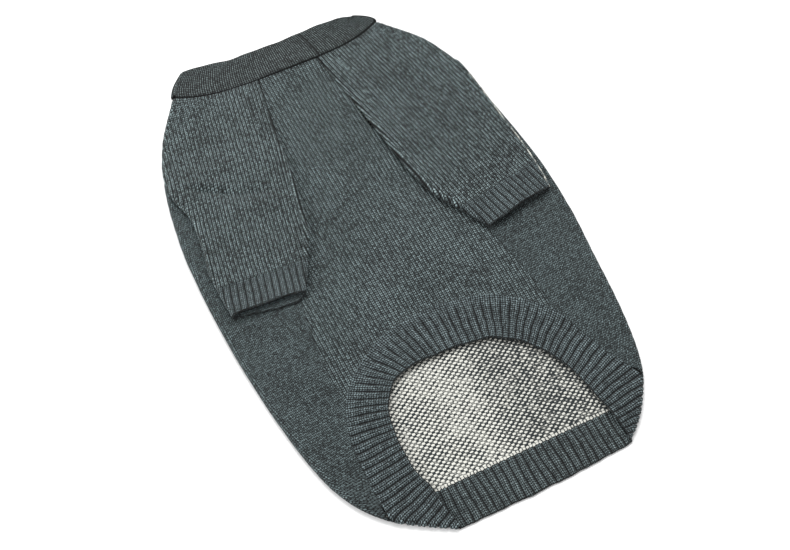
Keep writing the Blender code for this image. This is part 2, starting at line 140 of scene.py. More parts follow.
# Both sleeves at mid cloth. Columns: heights of the crown, the under layer and the inner edge,
# and the width over which the inner edge rounds up to the crown.
SLEEVE_HEIGHTS = (
    (0.0056, GROUND, BODY_TOP, 0.0100),
    (0.0074, GROUND, BODY_TOP, 0.0120),
    (0.0094, GROUND, 0.0058, 0.0110),
    (0.0100, ON_BODY, 0.0066, 0.0100),
    (0.0110, ON_BODY, 0.0082, 0.0060),
    (0.0113, ON_BODY, 0.0096, 0.0020),
    (0.0113, ON_BODY, 0.0096, 0.0018),
    (0.0113, ON_BODY, 0.0096, 0.0018),
    (0.0112, ON_BODY, 0.0095, 0.0018),
)
# Columns: x and station on the inner edge, x and station on the outer edge.
LEFT_PLAN = (
    (-0.0195, 0.3650, -0.0815, 0.3775),
    (-0.0235, 0.3440, -0.1032, 0.3425),
    (-0.0275, 0.3200, -0.1125, 0.3190),
    (-0.0290, 0.3130, -0.1138, 0.3125),
    (-0.0310, 0.2920, -0.1150, 0.2960),
    (-0.0340, 0.2750, -0.1105, 0.2720),
    (-0.0385, 0.2480, -0.1125, 0.2480),
    (-0.0450, 0.2260, -0.1165, 0.2260),
    (-0.0530, 0.2090, -0.1165, 0.2140),
)
RIGHT_PLAN = (
    (0.0255, 0.3650, 0.0805, 0.3775),
    (0.0280, 0.3440, 0.1055, 0.3425),
    (0.0307, 0.3200, 0.1135, 0.3190),
    (0.0313, 0.3130, 0.1148, 0.3125),
    (0.0330, 0.2920, 0.1170, 0.2900),
    (0.0352, 0.2680, 0.1178, 0.2660),
    (0.0388, 0.2400, 0.1190, 0.2420),
    (0.0440, 0.2190, 0.1198, 0.2270),
    (0.0545, 0.1995, 0.1198, 0.2120),
)
SLEEVE_LEFT = np.hstack([LEFT_PLAN, SLEEVE_HEIGHTS])
SLEEVE_RIGHT = np.hstack([RIGHT_PLAN, SLEEVE_HEIGHTS])
# The cuffs go on from the last rows of the sleeves, with the same columns.
CUFF_LEFT = (
    (-0.0590, 0.1970, -0.1163, 0.2025, 0.0116, ON_BODY, 0.0097, 0.0019),
    (-0.0648, 0.1868, -0.1160, 0.1908, 0.0124, ON_BODY, 0.0101, 0.0023),
)
CUFF_RIGHT = (
    (0.0600, 0.1885, 0.1192, 0.2000, 0.0112, ON_BODY, 0.0095, 0.0018),
    (0.0655, 0.1785, 0.1182, 0.1885, 0.0112, ON_BODY, 0.0095, 0.0018),
)
BACK_RAGLAN_NECK = (0.0475, 0.3715)
BACK_RAGLAN_FOLD = (0.1085, 0.3165)
STRIP_END = 0.3110
UNDER_SLEEVE = 0.0050  # how far the side folds go on underneath the sleeves
UNDER_SLEEVE_DRAW = 0.4  # how far they are drawn in there, for each metre that they go on
UNDERARM_GAP = 0.0020
UNDERARM_CORNER = (0.031, UNDERARM)
FOLD_CORNER = (0.113, STRIP_END + 0.001)
LEAST_UNDER_LAYER = 0.0045
CAP_REACH = 0.0300  # stretch over which a sleeve is drawn to the collar's foot
ROLL_COLUMNS = 24  # columns of a sleeve's grid over its rounded inner edge
TUCK = 0.0006
COLLAR_JOIN = 0.0290
COLLAR_FOOT = (0.0820, 0.0810)
COLLAR_NARROWING = (0.0145, 0.0135)
COLLAR_BOW = 1.6
FOOT_UPPER = 0.3650
FOOT_UNDER = 0.3710
FOOT_FOLD = 0.3780
# The collar's free edge. Columns: share of the half width, station.
COLLAR_EDGE = (
    (-1.00, 0.3955),
    (-0.75, 0.3945),
    (-0.41, 0.3912),
    (0.00, 0.3908),
    (0.36, 0.3914),
    (0.66, 0.3927),
    (0.85, 0.3918),
    (1.00, 0.3885),
)

# The knit itself
WALE = 0.0025  # width of one stitch
COURSE = 0.0016  # height of one row of stitches
BACK_WALE = 0.00227
BACK_COURSE = 0.00161
BAND_RIB = 0.0056  # one repeat of the belly band's ribbing: two wales and a furrow
TAIL_RIB = 0.0051
CUFF_RIB = 0.0045
COLLAR_RIB = 0.0017
WALE_DEPTH = 0.00060  # how far the furrow between two wales sinks in
FACE_DEPTH = 0.00020  # the same on the jacquard
RIB_CENTRE = 0.305  # middle of a repeat's first wale, as a share of the repeat
RIB_RADIUS = 0.195
RIB_DEPTH = 0.00100
CUFF_RIB_DEPTH = 0.00085
COLLAR_RIB_DEPTH = 0.00055
FLUSH = 0.0020  # stretch over which relief dies out where two pieces run into each other
RIB_RAMP = 0.0055  # stretch over which ribs grow out of plain knit
EDGE_WALE = 0.00040  # height of the raised wale along a sleeve's inner edge
EDGE_WALE_TOP = 0.318  # station where that wale has died out, and the stretch over which it does
EDGE_WALE_FADE = 0.030
CREAM_LINE = 0.0004  # half width of the line of cream yarn along the right sleeve's outer edge
CREAM_LINE_TOP = 0.300
RIM_REACH = 0.55  # distance over which a rim rounds off, as a share of the cloth's thickness
RIM_LEFT = 0.42  # share of that thickness which is left at the rim
SHARP_ANGLE = 72


# Curves
def stacked(*values):
    return np.stack(np.broadcast_arrays(*values), axis=-1)


def smooth(at, rows):
    """Monotone cubic through a table: end slopes are harmonic means of the slopes beside them."""
    rows = np.asarray(rows, float)
    place, value = rows[:, 0], rows[:, 1:]
    step = np.diff(place)[:, None]
    slope = np.diff(value, axis=0) / step
    end = np.vstack([slope[:1], slope[:-1], slope[-1:]])[: len(place)]
    after = np.vstack([slope, slope[-1:]])
    same = end * after > 0
    tangent = np.where(same, 2 * end * after / np.where(same, end + after, 1), 0)
    tangent[0], tangent[-1] = slope[0], slope[-1]
    at = np.clip(np.asarray(at, float), place[0], place[-1])
    cell = np.clip(np.searchsorted(place, at, side="right") - 1, 0, len(place) - 2)
    width = step[cell]
    t = ((at - place[cell])[..., None]) / width
    return (
        value[cell] * (1 + 2 * t) * (1 - t) ** 2
        + tangent[cell] * width * t * (1 - t) ** 2
        + value[cell + 1] * t * t * (3 - 2 * t)
        + tangent[cell + 1] * width * t * t * (t - 1)
    )


def along(rows, count):
    """A table read at evenly spaced places, with its own row number as the place."""
    rows = np.asarray(rows, float)
    numbered = np.column_stack([np.arange(len(rows)), rows])
    return smooth(np.linspace(0, len(rows) - 1, count), numbered)


def half_width(side, station):
    """Of the outline, on the left where side is below 0 and on the right elsewhere."""
    left, right = np.moveaxis(smooth(station, OUTLINE), -1, 0)
    return np.where(np.less(side, 0), left, right)


def band_ribs(count):
    """The fan worked out: free ends, directions, and lengths of its ribs."""
    fan = along(BAND_FAN, count)
    heading = np.radians(fan[:, 2])
    return fan[:, :2], stacked(np.cos(heading), np.sin(heading)), fan[:, 3]


def band_seam(side):
    """Where the ribs of one side end on the upper layer, as rows of station and half width."""
    free, way, length = band_ribs(BAND_RIBS)
    end = free + way * length[:, None]
    out = side * end[:, 0]
    inside = (out > SIDE_RIBS) & (out < half_width(side, end[:, 1]) - FOLD)
    rows = stacked(end[inside, 1], out[inside])
    return rows[np.argsort(rows[:, 0])]


def seam_width(side, station):
    band = band_seam(side)
    above = smooth(station, SIDE_SEAM)[..., 0 if side < 0 else 1]
    below = np.interp(station, band[:, 0], band[:, 1])
    return np.where(np.asarray(station) < SIDE_SEAM[0][0], below, above)


def slope(side, station):
    reach = 0.002
    change = half_width(side, station + reach) - half_width(side, station - reach)
    return change / (2 * reach)


def slant(side, station):
    return np.hypot(1, slope(side, station))


def flat_edge(side, station):
    """Distance from the middle line to where the side fold begins."""
    return half_width(side, station) - (FOLD + CLOTH / 2) * slant(side, station)


def collar_foot(x, upper):
    """Station of the collar's foot: a shallow dip that rises to both side folds."""
    across = np.clip(np.abs(x) / np.where(x < 0, *COLLAR_FOOT), 0, 1)
    low = np.where(upper, FOOT_UPPER, FOOT_UNDER)
    return low + (FOOT_FOLD - low) * across**4


def place(x, station, height):
    return stacked(x, station - LENGTH / 2, height)


# Relief of the knit
def furrow(wales, depth=WALE_DEPTH):
    """A raised cosine that is 0 on the middle of each wale and -depth between two wales."""
    return -depth * (0.5 + 0.5 * np.cos(2 * np.pi * wales)) ** 1.4


def ribbing(repeats, depth=RIB_DEPTH):
    """Two round wales and a furrow in each repeat: the higher of two half circles, less depth."""
    part = repeats % 1
    off = np.minimum(np.abs(part - RIB_CENTRE), np.abs(part - 1 + RIB_CENTRE)) / RIB_RADIUS
    return -depth * (1 - np.sqrt(np.clip(1 - off**2, 0, 1)))


def bell(offset, width):
    return np.exp(-((offset / width) ** 2))


def ramp(distance, reach):
    """0 at no distance, 1 at the reach and past it, eased at both ends."""
    share = np.clip(distance / reach, 0, 1)
    return share * share * (3 - 2 * share)


def ripple(x, y, seed):
    """A smooth wandering field between about -1 and 1: three crossed sine waves."""
    return (
        np.sin(41 * x + 23 * y + seed)
        + 0.7 * np.sin(-29 * x + 57 * y + 2.1 * seed)
        + 0.5 * np.sin(93 * x + 71 * y + 3.7 * seed)
    ) / 2.2


def creases(x, station, table):
    """Sum of soft furrows and swells. Each runs straight through its place at its heading, with
    a bell-shaped section and a bell-shaped fall-off along it.
    """
    total = np.zeros(np.broadcast(x, station).shape)
    for cx, cs, heading, length, width, height in table:
        way = np.radians(heading)
        run = (x - cx) * np.cos(way) + (station - cs) * np.sin(way)
        off = -(x - cx) * np.sin(way) + (station - cs) * np.cos(way)
        total += height * np.exp(-((run / (length / 2)) ** 4)) * bell(off, width)
    return total


# Soft creases. Columns: x, station, heading, length, width, height.
BODY_CREASES = (
    (0.000, 0.345, 80, 0.050, 0.008, -0.0006),
    (0.018, 0.300, 62, 0.070, 0.010, 0.0008),
    (-0.012, 0.262, 112, 0.060, 0.012, 0.0008),
    (0.030, 0.235, 48, 0.055, 0.009, -0.0008),
    (-0.040, 0.190, 120, 0.050, 0.011, -0.0007),
    (0.012, 0.178, 20, 0.080, 0.014, 0.0010),
    (-0.010, 0.150, 165, 0.075, 0.008, -0.0006),
    (0.040, 0.150, 140, 0.050, 0.007, 0.0006),
    (-0.088, 0.150, 78, 0.090, 0.008, 0.0008),
    (-0.098, 0.100, 68, 0.060, 0.007, -0.0006),
    (-0.082, 0.205, 100, 0.060, 0.009, -0.0006),
    (0.095, 0.160, 96, 0.080, 0.009, 0.0009),
    (0.083, 0.120, 84, 0.060, 0.007, -0.0007),
    (0.100, 0.105, 118, 0.050, 0.007, 0.0006),
    (0.078, 0.190, 70, 0.050, 0.008, -0.0006),
)
LEFT_SLEEVE_CREASES = (
    (-0.0905, 0.2880, 148, 0.025, 0.0030, -0.0032),
    (-0.0900, 0.2925, 148, 0.026, 0.0050, 0.0012),
    (-0.0680, 0.2755, 160, 0.034, 0.0038, -0.0022),
    (-0.0700, 0.2640, 162, 0.052, 0.0075, 0.0012),
    (-0.0700, 0.3010, 176, 0.070, 0.0095, 0.0010),
    (-0.0560, 0.3380, 75, 0.040, 0.0070, -0.0007),
    (-0.0850, 0.2420, 84, 0.050, 0.0100, 0.0008),
    (-0.0620, 0.2300, 95, 0.036, 0.0080, -0.0006),
)
RIGHT_SLEEVE_CREASES = (
    (0.076, 0.326, 8, 0.062, 0.009, 0.0009),
    (0.070, 0.302, 14, 0.056, 0.008, -0.0008),
    (0.088, 0.276, -8, 0.048, 0.009, 0.0009),
    (0.064, 0.252, 20, 0.040, 0.007, -0.0007),
    (0.090, 0.238, 82, 0.040, 0.011, 0.0008),
    (0.056, 0.338, 105, 0.040, 0.007, -0.0007),
)
# Creases on the underside only lift cloth off the floor, so they have no height below 0.
UNDER_CREASES = (
    (-0.060, 0.300, 35, 0.070, 0.006, 0.0007),
    (0.050, 0.270, 128, 0.080, 0.007, 0.0008),
    (-0.030, 0.210, 70, 0.060, 0.005, 0.0005),
    (0.070, 0.180, 100, 0.070, 0.006, 0.0007),
    (-0.080, 0.150, 95, 0.080, 0.007, 0.0008),
    (0.020, 0.110, 25, 0.060, 0.006, 0.0005),
    (0.000, 0.330, 168, 0.060, 0.005, 0.0006),
)
SWELL = 0.0005  # height of the body's slow undulation
TOP_SWELL = 0.0006  # the same on the sleeves and the collar
SWELL_START = 0.020  # distance from a side fold, or the collar, over which it sets in
HEM_WAVER = 0.0005  # how far the hems of the belly band and tail band waver


def settle(mid):
    """Raises the upper layers by creases and a slow swell that die out at both side folds and
    under the collar. All pieces share this one field, so neighbours stay flush.
    """
    x, station = mid[..., 0], mid[..., 1] + LENGTH / 2
    inward = ramp(flat_edge(x, station) - np.abs(x), SWELL_START)
    inward *= ramp(FOOT_UPPER - station, SWELL_START)
    lift = np.clip((mid[..., 2] - GROUND) / (BODY_TOP - GROUND), 0, 1)
    swell = creases(x, station, BODY_CREASES) + SWELL * ripple(x, station, 1)
    mid[..., 2] += lift * inward * swell
    return mid


# Meshes
def normals(grid):
    """Unit normals of a grid: its step across crossed with its step down."""
    square = np.cross(np.gradient(grid, axis=1), np.gradient(grid, axis=0))
    return square / np.maximum(np.linalg.norm(square, axis=-1, keepdims=True), 1e-12)


def arc(grid, axis):
    """Distance along a grid from its first point, across (axis 1) or down (axis 0)."""
    step = np.linalg.norm(np.diff(grid, axis=axis), axis=-1)
    start = np.zeros_like(np.take(step, [0], axis=axis))
    return np.concatenate([start, np.cumsum(step, axis=axis)], axis=axis)


def from_border(grid, edges="tblr"):
    """Distance of each point from the nearest of the named borders (top row, bottom row, left
    and right column), measured along its row and its column.
    """
    across, down = arc(grid, 1), arc(grid, 0)
    every = {"t": down, "b": down[-1:] - down, "l": across, "r": across[:, -1:] - across}
    return np.minimum.reduce([every[edge] for edge in edges])


def put(name, data, where=(0, 0, 0), facing=None):
    """A new object in the scene. A camera or lamp also takes the direction in which it looks."""
    made = bpy.data.objects.new(name, data)
    made.location = where
    if facing is not None:
        made.rotation_mode = "QUATERNION"
        made.rotation_quaternion = facing.to_track_quat("-Z", "Y")
    bpy.context.scene.collection.objects.link(made)
    return made


def add_mesh(name, points, quads, triangles, finishes, which, knit, attributes):
    """One object from arrays: quads and triangles share one loop list, quads first."""
    mesh = bpy.data.meshes.new(name)
    loops = np.concatenate([quads.ravel(), triangles.ravel()]).astype(np.int32)
    sizes = np.repeat([4, 3], [len(quads), len(triangles)])
    starts = (np.cumsum(sizes) - sizes).astype(np.int32)
    mesh.vertices.add(len(points))
    mesh.vertices.foreach_set("co", points.astype(np.float32).ravel())
    mesh.loops.add(len(loops))
    mesh.loops.foreach_set("vertex_index", loops)
    mesh.polygons.add(len(starts))
    mesh.polygons.foreach_set("loop_start", starts)
    for finish in finishes:
        mesh.materials.append(finish)
    mesh.polygons.foreach_set("material_index", which.astype(np.int32))
    mesh.update(calc_edges=True)
    mesh.shade_smooth()
    mesh.set_sharp_from_angle(angle=np.radians(SHARP_ANGLE))
    layer = mesh.uv_layers.new(name="knit")
    layer.data.foreach_set("uv", knit[loops].astype(np.float32).ravel())
    for label, values in attributes.items():
        made = mesh.attributes.new(label, "FLOAT", "POINT")
        made.data.foreach_set("value", values.astype(np.float32))
    return put(name, mesh)


def shell(
    name, mid, knit, finishes, relief, depth, inner=0.0, cloth=CLOTH, facing=1, step=1,
    edges="tblr", yarn=0.0, flush=1.0
):
    """A sheet of knit as one closed mesh.

    The outer face is the grid moved along its normals by half the cloth plus the relief, the
    inner face is every step-th row moved the other way, and near the named edges both draw
    together along a quarter circle, so that the rim is round. The other edges stay full. Relief
    is scaled by flush, 0 to 1, but the furrows keep their painted shade, which the materials take
    from the sunk attribute: the relief before flush.
    """
    rows, columns = mid.shape[:2]
    border = from_border(mid, edges)
    near = np.clip(border / (RIM_REACH * cloth), 0, 1)
    half = cloth / 2 * (RIM_LEFT + (1 - RIM_LEFT) * np.sqrt(1 - (1 - near) ** 2))
    normal = facing * normals(mid)
    relief = np.broadcast_to(relief, border.shape)
    inner = np.broadcast_to(inner, border.shape)
    yarn = np.broadcast_to(yarn, border.shape)
    outside = mid + normal * (half + relief * near * flush)[..., None]
    kept = np.unique(np.append(np.arange(0, rows, step), rows - 1))
    inside = (mid - normal * (half + inner * near)[..., None])[kept]
    points = np.concatenate([outside.reshape(-1, 3), inside.reshape(-1, 3)])
    top = np.arange(rows * columns).reshape(rows, columns)
    low = rows * columns + np.arange(len(kept) * columns).reshape(len(kept), columns)

    def cells(n):
        return stacked(n[:-1, :-1], n[:-1, 1:], n[1:, 1:], n[1:, :-1]).reshape(-1, 4)

    ends = [
        stacked(top[0, 1:], top[0, :-1], low[0, :-1], low[0, 1:]),
        stacked(top[-1, :-1], top[-1, 1:], low[-1, 1:], low[-1, :-1]),
    ]
    outer_quads, inner_quads = cells(top), cells(low)[:, ::-1]
    quads = np.concatenate([outer_quads, inner_quads, *ends])
    switch = (kept[:-1] + kept[1:] + 1) // 2
    row = np.arange(rows - 1)
    nearest = np.searchsorted(switch, row, side="right")
    coarse = np.arange(len(kept) - 1)
    triangles = np.concatenate(
        [
            stacked(top[row, 0], top[row + 1, 0], low[nearest, 0]),
            stacked(low[coarse + 1, 0], low[coarse, 0], top[switch, 0]),
            stacked(top[row + 1, -1], top[row, -1], low[nearest, -1]),
            stacked(low[coarse, -1], low[coarse + 1, -1], top[switch, -1]),
        ]
    )
    if facing < 0:
        quads, triangles = quads[:, ::-1], triangles[:, ::-1]
    which = np.zeros(len(quads) + len(triangles))
    if len(finishes) > 1:
        which[len(outer_quads) : len(outer_quads) + len(inner_quads)] = 1
    knit = np.concatenate([knit.reshape(-1, 2), knit[kept].reshape(-1, 2)])
    # The knit materials paint shade by sunk, the relief before flush, and by border near the
    # rounded edges.
    values = {"sunk": (-relief / depth, -inner / depth), "border": (border, border)}
    values["yarn"] = (yarn, 0 * yarn)
    for label, (outer, under) in values.items():
        values[label] = np.concatenate([outer.ravel(), under[kept].ravel()])
    return add_mesh(name, points, quads, triangles, finishes, which, knit, values)


# Panels
def belly_edges(station):
    """The left and right edges of the belly panel: side seams, and raglans above them."""
    found = []
    for side, rows in ((-1, SLEEVE_LEFT), (1, SLEEVE_RIGHT)):
        raglan = [(row[1], side * row[0]) for row in rows[4::-1]]
        above = smooth(station, raglan)[..., 0]
        reach = np.where(station > UNDERARM, above, seam_width(side, station))
        found.append(side * (reach + OVERLAP))
    return found


def belly_panel(finish):
    """Upper layer between raglans and side seams. A column keeps its share of the width."""
    rows, columns, ribs = 190, 390, 400
    rise = np.linspace(0, 1, rows)[:, None]
    free, way, length = band_ribs(ribs)
    arch = (free + way * length[:, None])[free[:, 1] > ARCH_FOOT]
    arch = arch[arch[:, 1] > SIDE_SEAM[0][0]]
    left, right = belly_edges(arch[:, 1])
    found = np.concatenate([[0], (arch[:, 0] - left) / (right - left), [1]])
    share = np.linspace(0, 1, columns)
    low = np.concatenate([[SIDE_SEAM[0][0]], arch[:, 1], [SIDE_SEAM[0][0]]])
    low = np.interp(share, found, low)
    left, right = belly_edges(np.full(share.shape, FOOT_UPPER))
    high = collar_foot(left + share * (right - left), True) + OVERLAP
    station = low + rise * (high - low)
    left, right = belly_edges(station)
    x = left + share * (right - left)
    mid = settle(place(x, station, BODY_TOP))
    wales = x / WALE + 0.25 * ripple(0.5 * x, station, 4.0)
    knit = stacked(wales, station / COURSE)
    flush = ramp(from_border(mid, "t"), FLUSH)
    return shell(
        "belly_knit", mid, knit, [finish], furrow(wales), WALE_DEPTH,
        step=8, edges="blr", flush=flush,
    )


def back_panel(face, backing):
    """Underside, both side folds and both upper strips, as one grid from seam to seam. Each
    column runs from its own lower end to its own upper end, so the four edges follow the seams.
    """
    rows, strip_columns, fold_columns, under_columns = 165, 56, 14, 190
    rise = np.linspace(0, 1, rows)
    neck_x, neck_station = BACK_RAGLAN_NECK
    fold_x, fold_station = BACK_RAGLAN_FOLD
    fold_end = STRIP_END + UNDER_SLEEVE
    columns, across = [], []

    def strip(side, shares):
        _, low, seam_low = BACK_START[side]
        for share in shares:
            start = low + share * (seam_low - low)
            stop = fold_end + share * (UNDERARM - UNDERARM_GAP - fold_end)
            station = start + rise * (stop - start)
            outer = flat_edge(side, station)
            inner = seam_width(side, station) - OVERLAP
            x = outer + share * (inner - outer)
            columns.append(settle(place(side * x, station, BODY_TOP)))
            across.append(side * (2 * outer + np.pi * FOLD - x))

    def fold(side, angles):
        under, low, _ = BACK_START[side]
        for angle in angles:
            start = under + (np.sin(angle) + 1) / 2 * (low - under)
            station = start + rise * (fold_end - start)
            inset = (FOLD * (1 - np.cos(angle)) + CLOTH / 2) * slant(side, station)
            inset += UNDER_SLEEVE_DRAW * np.clip(station - STRIP_END, 0, None)
            height = (GROUND + BODY_TOP) / 2 + FOLD * np.sin(angle)
            columns.append(place(side * (half_width(side, station) - inset), station, height))
            across.append(side * (flat_edge(side, station) + FOLD * (angle + np.pi / 2)))

    def underside(shares):
        stations = np.linspace(STRIP_END, neck_station, 80)
        line = np.interp(stations, (fold_station, neck_station), (fold_x, neck_x))
        for share in shares:
            side = -1 if share < 0 else 1
            part = abs(share)
            cut = line / flat_edge(side, stations)
            if part > cut[-1]:
                stop = np.interp(-part, -cut, stations) + OVERLAP
            else:
                stop = collar_foot(share * flat_edge(side, neck_station), False) + OVERLAP
            start = TAIL_SEAM - OVERLAP
            if part > LIP_SHARE:
                start += (BACK_START[side][0] - TAIL_SEAM) * (part - LIP_SHARE) / (1 - LIP_SHARE)
            station = start + rise * (stop - start)
            x = share * flat_edge(side, station)
            lifted = creases(x, station, UNDER_CREASES) * ramp(1 - part, 0.2)
            columns.append(place(x, station, GROUND + lifted))
            across.append(x)

    turn = np.radians(np.linspace(78, -78, fold_columns))
    strip(-1, np.linspace(1, 0, strip_columns))
    fold(-1, turn)
    underside(np.linspace(-1, 1, under_columns))
    fold(1, turn[::-1])
    strip(1, np.linspace(0, 1, strip_columns))
    mid = np.stack(columns, axis=1)
    station = mid[..., 1] + LENGTH / 2
    across = np.stack(across, axis=1)
    wales = (across + 0.05 * station) / BACK_WALE
    courses = (station + 0.09 * across) / BACK_COURSE
    knit = stacked(wales, courses)
    relief = furrow(wales, FACE_DEPTH)
    return shell("back_knit", mid, knit, [face, backing], relief, WALE_DEPTH, facing=-1, step=2)


def raglan_reach(inner, outer, under):
    """How far in from the outer edge the under layer goes before it meets the back panel."""
    side = np.sign(outer[0, 0])
    back = (inner - outer) / np.linalg.norm(inner - outer, axis=1, keepdims=True)

    def crossing(first, second):
        first = np.array([side * first[0], first[1]])
        run = np.array([side * second[0], second[1]]) - first
        offset = first - outer
        across = offset[:, 0] * run[1] - offset[:, 1] * run[0]
        return across / (back[:, 0] * run[1] - back[:, 1] * run[0])

    below = crossing(BACK_RAGLAN_NECK, BACK_RAGLAN_FOLD)
    above = crossing(UNDERARM_CORNER, FOLD_CORNER)
    return np.clip(np.where(under < BODY_HEIGHT / 2, below, above), LEAST_UNDER_LAYER, None)


def to_collar(grid):
    """Moves a sleeve's first rows so that its end follows the foot of the collar."""
    upper = grid[0, :, 2] > BODY_HEIGHT / 2
    shift = collar_foot(grid[0, :, 0], upper) + OVERLAP - LENGTH / 2 - grid[0, :, 1]
    away = (grid[0, None, :, 1] - grid[:, :, 1]) / CAP_REACH
    grid[:, :, 1] += shift * np.clip(1 - away, 0, 1) ** 2


def tube(rows, count, crown_columns, cap=False):
    """A sleeve or cuff at mid cloth: one sheet from its inner edge over the crown, round the
    outer fold and back underneath. On the cap the under layer stops at the back raglan.
    Returns the grid and each point's distance across from the middle of the crown.
    """
    table = along(rows, count)
    inner, outer = table[:, :2], table[:, 2:4]
    crown, under, edge, roll = table[:, 4:].T
    width = np.linalg.norm(outer - inner, axis=1)
    way = (outer - inner) / width[:, None]
    radius = (crown - under) / 2
    turned = width - CLOTH - radius
    end = roll
    if cap:
        reach = raglan_reach(inner, outer, under)
        end = np.maximum(width - CLOTH / 2 - 4 * OVERLAP - reach, roll)
    whole = end <= roll
    columns = []
    for angle in np.radians(np.linspace(0, 82, ROLL_COLUMNS)):
        columns.append((roll * (1 - np.cos(angle)), edge + (crown - edge) * np.sin(angle)))
    for share in np.linspace(0, 1, crown_columns):
        columns.append((roll + share * (turned - roll), crown))
    for angle in np.radians(np.linspace(75, -75, 15)):
        height = (crown + under) / 2 + radius * np.sin(angle)
        columns.append((turned + radius * np.cos(angle), height))
    for share in np.linspace(0, 1, crown_columns // 2):
        columns.append((turned + share * (end - turned), under))
    for angle in np.radians([60, 30, 4]):
        tuck = np.where(whole, roll * (1 - np.cos(angle)), end - TUCK * (2 - angle))
        drop = np.where(whole, edge + (under - edge) * np.sin(angle), under)
        columns.append((tuck, drop))
    distance, height = np.moveaxis(np.array(columns), 1, 0)
    point = inner[:, None] + way[:, None] * (CLOTH / 2 + distance.T)[..., None]
    grid = place(point[..., 0], point[..., 1], height.T)
    if cap:
        to_collar(grid)
    across = arc(grid, 1)
    return grid, across - across[:, [ROLL_COLUMNS + crown_columns // 2]]


def from_axis(mid, rows, last):
    """Distance of each point from the straight line down the middle of a sleeve, seen from above;
    past the outer fold it goes on along the cloth, so that the wales stay parallel to the sleeve.
    """
    top, mouth = (0.8 * row[:2] + 0.2 * row[2:4] for row in (rows[2], rows[-1]))
    way = (mouth - top) / np.linalg.norm(mouth - top)
    offset = mid[..., :2] + np.array([0, LENGTH / 2]) - top
    across = way[0] * offset[..., 1] - way[1] * offset[..., 0]
    length = arc(mid, 1)
    past = across[:, [last]] + np.sign(rows[0][0]) * (length - length[:, [last]])
    return np.where(np.arange(mid.shape[1]) > last, past, across)


def sleeve(name, rows, table, finish, line=0.0):
    """Body of a sleeve. A raised wale follows its inner edge, with a groove beside it."""
    side = np.sign(rows[0][0])
    count, crown_columns = 126, 190
    mid, _ = tube(rows, count, crown_columns, cap=True)
    x, station = mid[..., 0], mid[..., 1] + LENGTH / 2
    turned = ROLL_COLUMNS + crown_columns
    top = np.arange(mid.shape[1]) < turned
    settle(mid)
    flat = ramp(from_border(mid, "tlr"), 0.010)
    swell = creases(x, station, table) + TOP_SWELL * ripple(1.4 * x, 1.2 * station, 2.0 + side)
    mid[..., 2] += np.where(top, swell * flat, 0)
    across = from_axis(mid, rows, turned)
    wales = across / WALE + 0.15 * ripple(x, station, 5.0)
    courses = arc(mid, 0)[:, [ROLL_COLUMNS + crown_columns // 2]] / COURSE
    knit = stacked(wales, courses)
    inward = arc(mid, 1)
    ridge = EDGE_WALE * (bell(inward - 0.0018, 0.0012) - bell(inward - 0.0042, 0.0009))
    yarn = line * bell(inward - inward[:, [turned + 3]], CREAM_LINE) * (station < CREAM_LINE_TOP)
    mid[..., 2] += np.where(top, ridge * ramp(EDGE_WALE_TOP - station, EDGE_WALE_FADE), 0)
    flush = ramp(from_border(mid, "b"), FLUSH)
    return shell(
        name, mid, knit, [finish], furrow(wales), WALE_DEPTH,
        facing=-side, step=6, edges="tlr", yarn=yarn, flush=flush,
    )


def cuff(name, rows, finish, lip, lifted, line=0.0):
    """Ribs that grow out of the sleeve. At the mouth the under layer reaches further by lip near
    the inner edge, and the upper layer stands up by lifted.
    """
    side = np.sign(rows[0][0])
    count, crown_columns = 30, 200
    mid, across = tube(rows, count, crown_columns)
    turned = ROLL_COLUMNS + crown_columns
    under = np.arange(mid.shape[1]) > turned + 8
    rise = np.linspace(0, 1, len(mid))[:, None]
    share = (mid[..., 0] - rows[-1][2]) / (rows[-1][0] - rows[-1][2])
    settle(mid)
    mid[..., 1] -= np.where(under, lip * rise**2 * ramp(share, 0.7) * ramp(1.02 - share, 0.2), 0)
    crown = ramp(share, 0.35) * ramp(1 - share, 0.35)
    mid[..., 2] += np.where(under, 0, lifted * rise**2 * crown)
    mid[..., 1] += 0.0004 * rise * ripple(6 * mid[..., 0], 0, 3.0) * np.where(under, 0, 1)
    repeats = across / CUFF_RIB + 0.12 * ripple(3 * mid[..., 0], 2 * mid[..., 1], 6.0)
    down = arc(mid, 0)
    knit = stacked(repeats * 2, down / COURSE)
    grown = ramp(down + 0.0015, RIB_RAMP)
    relief = ribbing(repeats, CUFF_RIB_DEPTH) * grown + furrow(repeats * 2) * (1 - grown)
    inward = arc(mid, 1)
    yarn = line * bell(inward - inward[:, [turned + 3]], CREAM_LINE)
    return shell(
        name, mid, knit, [finish], relief, CUFF_RIB_DEPTH,
        relief * 0.6, facing=-side, step=2, edges="blr", yarn=yarn, flush=ramp(down, FLUSH),
    )


